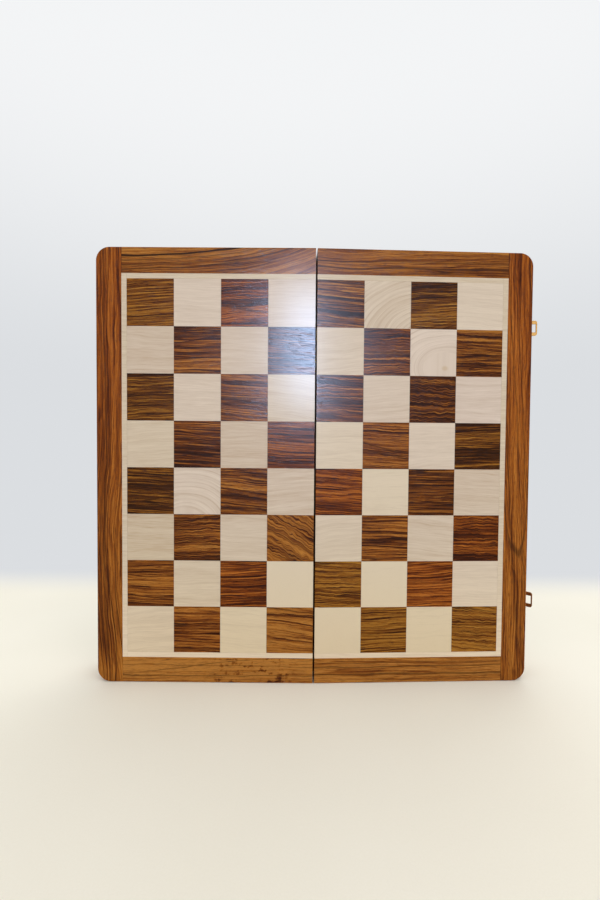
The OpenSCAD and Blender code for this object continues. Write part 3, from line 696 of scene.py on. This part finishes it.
def lay_down(shape, shade, kind, row):
    """Lays a standing piece in its slot, and puts felt under its foot."""
    half = "left" if shade == "light" else "right"
    node, radius = f"{shade}_{kind}", measures[kind.split("_")[0]][0] / 2
    start, way = (pawn_x, -1) if kind.startswith("pawn") else (officer_x, 1)
    for face in shape.faces:
        face.material_index = int(all(vert.co.z < felt_t + 0.01 and vert.co.xy.length < radius - 0.9
                                      for vert in face.verts))
    slot = Matrix.Translation((start, foot_y + radius, first_row - row * row_pitch))
    down = Matrix.Rotation(way * math.pi / 2, 4, "Y")
    bmesh.ops.transform(shape, matrix=half_place(half) @ slot @ down, verts=shape.verts)
    add_piece(shape, f"{node}_turned", node, node,
              [woods[shade], felts[shade]])


def lay_set(make, *places):
    """Makes pieces of one kind for both sides, and lays each in its row."""
    for shade in ("light", "dark"):
        for kind, row in places:
            lay_down(make(), shade, kind, row)


def pawn():
    return turned(foot("pawn", 3.0, 21.4) + [(4.4, 21.4)] + bow(4.7, 22.15, 0.9, 0.65, -70, 75, 9)
                  + [(3.3, 23.0), (2.9, 23.3)] + bow(0, 27.9, 5.1, 5.1, -57, 90, 26))


lay_set(pawn, *((f"pawn_{row + 1}", row) for row in range(8)))

# Rooks. Stout turned towers of the same woods as the pawns, and felted too. The top is bored out,
# and three saw cuts right across it leave six battlements.


def blank(shape):
    """A shape as an object, for modifiers to work on."""
    return bring_in("blank", mesh_of(shape, "blank"))


def settle(thing):
    """A blank's shape with its modifiers worked in. The blank itself is removed."""
    result = bmesh.new()
    result.from_object(thing, bpy.context.evaluated_depsgraph_get())
    bpy.data.objects.remove(thing)
    return result


def carve(shape, cutter):
    """Takes one closed shape out of another."""
    for closed in (shape, cutter):
        bmesh.ops.recalc_face_normals(closed, faces=closed.faces)
    body, tool = blank(shape), blank(cutter)
    cut = body.modifiers.new("cut", "BOOLEAN")
    cut.operation, cut.solver, cut.object = "DIFFERENCE", "EXACT", tool
    result = settle(body)
    bpy.data.objects.remove(tool)
    return result


def rook():
    tower = turned(foot("rook", 5.9, 21.5) + [(7.0, 21.5)] + bow(6.7, 22.35, 0.95, 0.75, -60, 80, 9)
                   + [(6.55, 23.3)] + bow(8.0, 23.3, 1.9, 6.5, 180, 115, 12)
                   + [(7.7, 29.8), (8.0, 30.1), (8.0, 36.6), (7.6, 37.0), (6.1, 37.0), (5.8, 36.7),
                      (5.8, 32.5), (0, 32.5)])
    for turn in (0, 60, 120):
        saw = Matrix.Rotation(math.radians(turn), 4, "Z")
        tower = carve(tower, block((-9, -1.2, 34), (9, 1.2, 38), saw))
    return tower


lay_set(rook, ("rook_1", 0), ("rook_2", 7))

# Bishops. A turned mitre with a small ball on top stands on two collars. One slanting saw cut opens
# its side.


def bishop():
    mitre = turned(foot("bishop", 3.5, 27.5) + collars(6.3, 27.5)
                   + bow(0, 35.7, 5.9, 5.0, -48, 0, 9) + bow(0, 35.7, 5.9, 9.5, 4, 76, 16)
                   + bow(0, 46.2, 1.8, 1.8, -42, 90, 12))
    saw = Matrix.Translation((0.6, 0, 37.2)) @ Matrix.Rotation(math.radians(35), 4, "Y")
    return carve(mitre, block((0, -6, 0), (1.2, 6, 12), saw))


lay_set(bishop, ("bishop_1", 2), ("bishop_2", 5))

# Queens. Slender turned pieces with a flaring cup. Its rim is filed into eight scallops, and a ball
# stands on the low dome inside it.
scallops, scallop_depth, rim_foot = 8, 0.95, 49.8


def queen():
    crown = turned(foot("queen", 3.8, 35.0) + collars(7.0, 35.0)
                   + bow(7.0, 38.2, 3.0, 12.6, 180, 112, 14) + [(6.75, 50.6), (7.0, 51.0)]
                   + [(6.85, 51.3), (6.5, 51.4), (5.0, 50.4), (4.2, 50.6)]
                   + bow(0, 50.6, 4.0, 1.6, 8, 66, 7) + bow(0, 53.1, 1.9, 1.9, -52, 90, 14), 96)
    for vert in crown.verts:
        x, y, z = vert.co
        if z > rim_foot and math.hypot(x, y) > 4.9:
            dip = max(0.0, math.cos(scallops * math.atan2(y, x))) ** 0.7
            vert.co.z -= scallop_depth * dip * min(1.0, (z - rim_foot) / 0.7)
    return crown


lay_set(queen, ("queen", 3))

# Kings. The tallest pieces, with a domed cup. A cross with flared arms, sawn from a thin board and
# eased at its edges, is let into the dome.


def sawn(outline, thick):
    """A flat outline in x and z, sawn from a board of that thickness with its middle at y = 0."""
    shape = bmesh.new()
    side = shape.faces.new([shape.verts.new((x, -thick / 2, z)) for x, z in outline])
    moved = bmesh.ops.extrude_face_region(shape, geom=[side])["geom"]
    bmesh.ops.translate(shape, vec=(0, thick, 0), verts=corners_of(moved))
    bmesh.ops.recalc_face_normals(shape, faces=shape.faces)
    return shape


def king():
    cup = turned(foot("king", 4.0, 38.0) + collars(7.0, 38.0)
                 + bow(7.0, 41.2, 2.8, 11.3, 180, 112, 14)
                 + [(6.75, 52.3), (7.0, 52.6), (7.0, 53.2)]
                 + bow(1.6, 53.2, 5.3, 2.4, 6, 84, 10) + [(0, 55.7)])
    arms = ((-0.95, 62), (0.95, 62), (0.6, 60.05), (2.6, 60.4), (2.6, 58.5), (0.6, 58.85),
            (1.05, 55.2), (-1.05, 55.2), (-0.6, 58.85), (-2.6, 58.5), (-2.6, 60.4), (-0.6, 60.05))
    cross = sawn(arms, 1.9)
    bmesh.ops.bevel(cross, geom=cross.edges[:], offset=0.22, offset_type="OFFSET", segments=2,
                    profile=0.5, affect="EDGES", clamp_overlap=True, material=-1)
    cup.from_mesh(mesh_of(cross, "cross"))
    return cup


lay_set(king, ("king", 4))

# Knights. A horse's head carved by hand stands on a turned foot: mane cut in strokes down the nape,
# round cheek, hollow eye, nostril and a knife cut for the mouth.
head_profile = ([(-7.0, -0.6), (6.9, -0.6), (6.6, 2.2), (5.0, 4.8), (4.0, 7.0), (3.7, 9.0),
                 (4.6, 10.9), (6.4, 11.1), (8.3, 10.7), (9.4, 11.6), (9.7, 13.6), (9.3, 15.6),
                 (7.9, 18.2), (6.6, 20.4), (5.3, 22.6), (4.3, 24.0), (3.9, 25.6), (2.7, 28.3),
                 (1.4, 26.4), (0.6, 25.8), (-0.5, 27.0), (-1.6, 25.2)]
                + bow(-0.4, 13.8, 7.3, 11.3, 105, 190, 12)
                + [(-7.5, 8.5), (-7.3, 5.0), (-6.9, 2.2)])
# The head stands this high on the turned foot, and is made this much taller than its outline
head_foot, tall_by = 11, 32 / 28.4
# Knife strokes: the path, its depth and its half width. Eight cut the mane, then come the neck's
# edge, the cheek, the mouth, the brow, the bridge of the nose, the chest and between the ears
strokes = [([(-7.6 + 0.3 * k, 4.2 + 2.6 * k), (-5.4 + 0.32 * k, 2.8 + 2.62 * k),
             (-3.0 + 0.36 * k, 2.5 + 2.62 * k)], 0.95, 0.8) for k in range(8)]
strokes += [([(-2.6, 3.0), (-2.6, 9.0), (-1.9, 15.0), (-0.2, 20.0), (1.0, 23.6)], 0.55, 0.7),
            ([(2.4, 18.2), (1.0, 16.4), (0.9, 13.9), (2.3, 12.0), (4.2, 11.3)], 0.8, 0.9),
            ([(9.9, 12.9), (8.2, 12.75), (6.2, 13.3)], 1.05, 0.55),
            ([(5.1, 21.0), (3.3, 21.5), (1.8, 20.3)], 0.65, 0.55),
            ([(8.0, 16.9), (6.3, 16.0), (5.6, 14.4)], 0.3, 0.7),
            ([(1.7, 8.8), (1.9, 5.4), (3.2, 2.4)], 0.45, 0.9),
            ([(2.7, 27.6), (2.6, 24.9)], 0.6, 0.6)]
strokes = [([Vector(point) for point in path], depth, width) for path, depth, width in strokes]
# Hollows and swellings: the middle, the depth, and where each begins and ends around the middle.
# They are the eye's socket and ball, the nostril and its wing, and the cheek
hollows = [(Vector(middle), depth, inner, outer) for middle, depth, inner, outer in (
    ((3.5, 19.5), 1.05, 0.9, 2.1), ((3.5, 19.5), -0.95, 0.1, 1.1), ((8.5, 14.6), 1.00, 0.2, 0.95),
    ((8.3, 14.4), -0.45, 0.6, 1.7), ((3.4, 14.9), -0.45, 0.6, 3.0))]


def easing(value, low, high):
    """0 below low and 1 above high, with a soft step in between."""
    t = min(1.0, max(0.0, (value - low) / (high - low)))
    return t * t * (3 - 2 * t)


def near(point, path):
    """The distance from a point to a path of points."""
    best = 1e9
    for a, b in zip(path, path[1:]):
        run = b - a
        t = min(1.0, max(0.0, (point - a).dot(run) / run.length_squared))
        best = min(best, (a + run * t - point).length)
    return best


def rub(shape, times):
    """Rubs a carving smooth."""
    for _ in range(times):
        bmesh.ops.smooth_vert(shape, verts=shape.verts, factor=0.5, use_axis_x=True,
                              use_axis_y=True, use_axis_z=True)


def horse():
    """The carved head and neck, standing on the turned foot."""
    thing = blank(sawn(head_profile, 9.8))
    even = thing.modifiers.new("even", "REMESH")
    even.mode, even.voxel_size = "VOXEL", 0.26
    head = settle(thing)
    rub(head, 16)
    for vert in head.verts:
        x, y, z = vert.co
        # Wide at the foot, leaner above it, fuller at the cheeks, thin at the muzzle, ears and nape
        y *= (1 + 0.55 * (1 - easing(z, -0.8, 3.0)) - 0.10 * easing(z, 2.0, 7.0)
              + 0.06 * easing(z, 10.0, 14.0) - 0.42 * easing(x, 3.6, 9.4) * easing(z, 8.5, 11.5)
              - 0.40 * easing(z, 17.5, 27.5) - 0.30 * easing(-x, 3.2, 7.4) * easing(z, 1.0, 5.0))
        point = Vector((x, z))
        push = sum(depth * (1 - easing(near(point, path), 0.0, width))
                   for path, depth, width in strokes)
        push += sum(depth * (1 - easing((point - middle).length, inner, outer))
                    for middle, depth, inner, outer in hollows)
        vert.co.y = y - math.copysign(push * easing(abs(y), 0.5, 1.6), y)
        if z >= 24.6:
            z -= 0.9 * (1 - easing(abs(y), 0.2, 1.3))
        vert.co.z = head_foot + z * tall_by
    rub(head, 2)
    return mesh_of(head, "head")


carved = horse()


def knight():
    base = turned(foot("knight", 7.6, 9.4) + bow(8.1, 10.1, 0.6, 0.55, -70, 70, 6)
                  + [(8.0, 10.9), (7.6, 11.0), (0, 11.0)])
    base.from_mesh(carved)
    return base


lay_set(knight, ("knight_1", 1), ("knight_2", 6))

# Floor. A plain cream floor lies under the board. Behind it the floor passes softly into the pale
# room, as bright as the room's own wall.
room_low, room_high = (0.71, 0.73, 0.755), (0.90, 0.91, 0.92)


def cream(name):
    """Plain cream, which turns into the room's own pale glow behind the board."""
    material, shader, place = new_finish(name)
    x, y, _ = place.axes()
    fine = place.place(x * 0.9, y * 0.9, 0.0).noise(2, 0.6)
    broad = place.place(x * 0.006, y * 0.006, 0.0).noise(2)
    behind = y.between(175.0, 290.0)
    colour = (fine * 0.5 + broad * 0.6 - 0.05).ramp(
        (0.1, (0.86, 0.82, 0.70)), (0.9, (0.93, 0.895, 0.79)))
    feed(shader, Base_Color=behind.mix(colour, (0.0, 0.0, 0.0)),
         Emission_Color=behind.mix((0.0, 0.0, 0.0), room_low), Roughness=0.8 + fine * 0.1,
         Normal=fine.bump(0.2, 0.0002))
    shader.inputs["Emission Strength"].default_value = 1.0
    shader.inputs["Specular IOR Level"].default_value = 0.0
    return material


ground = bmesh.new()
bmesh.ops.create_grid(ground, x_segments=1, y_segments=1, size=8)
floor = bring_in("floor", mesh_of(ground, "floor"))
floor.data.materials.append(cream("cream floor"))

# Light. The room is pale all round, and two big soft lamps hang above, one in front and one behind.
# A tall window far in front, low at the right, leaves a bluish patch of glare along the seam.
bpy.context.scene.view_settings.view_transform = "Standard"
world = bpy.data.worlds.new("room")
bpy.context.scene.world = world
world.use_nodes = True
sky = world.node_tree
toward = Strand(sky, sky.nodes.new("ShaderNodeTexCoord").outputs["Generated"])
pale = toward.axes()[2].between(0.10, 0.65).mix(room_low, room_high)
sky.links.new(pale.socket, sky.nodes["Background"].inputs["Color"])


def lamp(name, place, aim, size, power, colour):
    """A flat lamp of some width and height in metres, with its power in watts."""
    light = bpy.data.lights.new(name, "AREA")
    light.shape, light.size, light.size_y = "RECTANGLE", *size
    light.energy, light.color = power, colour
    thing = bring_in(name, light)
    thing.location = place
    thing.rotation_euler = (Vector(aim) - Vector(place)).to_track_quat("-Z", "Y").to_euler()
    thing.visible_camera = False
    return thing


window = lamp("window", (0.03, -1.6, 0.60), (0.0, 0, 0.28), (0.16, 0.48), 108, (0.50, 0.68, 1.0))
window.visible_diffuse = False
lamp("softbox", (0.35, -1.05, 2.2), (0, -0.15, 0.05), (1.4, 1.4), 9, (1.0, 0.97, 0.92))
lamp("back softbox", (0.8, 1.5, 2.2), (0, 0, 0.15), (2.0, 2.0), 12, (1.0, 0.98, 0.95))

# Camera. It stands low in front of the board, a little above its middle, and looks level. Its
# place is in metres, its lens and sensor in millimetres, and its tilt, roll and turn in degrees.
camera = bpy.data.cameras.new("camera")
camera.lens, camera.sensor_width = 17.33, 36
eye = bring_in("camera", camera)
tilt, roll, pan = (math.radians(angle) for angle in (1.579, 0.451, -0.196))
turn = (Matrix.Rotation(pan, 3, "Z") @ Matrix.Rotation(tilt, 3, "X")
        @ Matrix.Rotation(roll, 3, "Y"))
right, ahead, up = turn
stand = Matrix.Translation((-0.01057, -0.36859, 0.20262))
eye.matrix_world = stand @ Matrix((right, up, -ahead)).transposed().to_4x4()
bpy.context.scene.camera = eye
